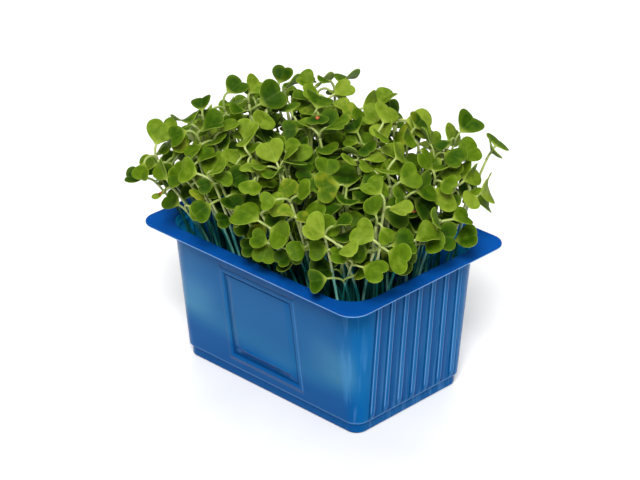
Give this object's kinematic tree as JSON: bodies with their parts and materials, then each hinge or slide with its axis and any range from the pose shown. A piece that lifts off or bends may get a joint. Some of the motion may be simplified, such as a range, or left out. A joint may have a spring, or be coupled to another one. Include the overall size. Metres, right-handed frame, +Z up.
{
  "type": "microgreens tray",
  "caption": "Flanged blue punnet with ribbed ends and framed side panels, filled with growing medium and a dense crop of two-leaved brassica seedlings.",
  "frame": {"origin": "middle of the flat underside of the tray's foot", "axes": "+Z up, +X along the tray's long side, -Y out of a framed side wall"},
  "size_m": [0.1235, 0.0908, 0.1009],
  "materials": {
    "tray_plastic": "glossy, slightly translucent thermoformed sheet",
    "growing_medium": "damp fibrous substrate",
    "seedling_green": "smooth satin leaf"
  },
  "bodies": {
    "root": {"tray": "tray_plastic", "growing_medium": "growing_medium", "seedlings_01": "seedling_green", "seedlings_02": "seedling_green", "seedlings_03": "seedling_green", "seedlings_04": "seedling_green", "seedlings_05": "seedling_green", "seedlings_06": "seedling_green", "seedlings_07": "seedling_green", "seedlings_08": "seedling_green", "seedlings_09": "seedling_green", "seedlings_10": "seedling_green", "seedlings_11": "seedling_green", "seedlings_12": "seedling_green", "seedlings_13": "seedling_green", "seedlings_14": "seedling_green", "seedlings_15": "seedling_green", "seedlings_16": "seedling_green", "seedlings_17": "seedling_green", "seedlings_18": "seedling_green", "seedlings_19": "seedling_green", "seedlings_20": "seedling_green", "seedlings_21": "seedling_green", "seedlings_22": "seedling_green", "seedlings_23": "seedling_green", "seedlings_24": "seedling_green", "seedlings_25": "seedling_green", "seedlings_26": "seedling_green", "seedlings_27": "seedling_green", "seedlings_28": "seedling_green", "seedlings_29": "seedling_green", "seedlings_30": "seedling_green", "seedlings_31": "seedling_green", "seedlings_32": "seedling_green", "seedlings_33": "seedling_green", "seedlings_34": "seedling_green", "seedlings_35": "seedling_green"}
  },
  "joints": []
}
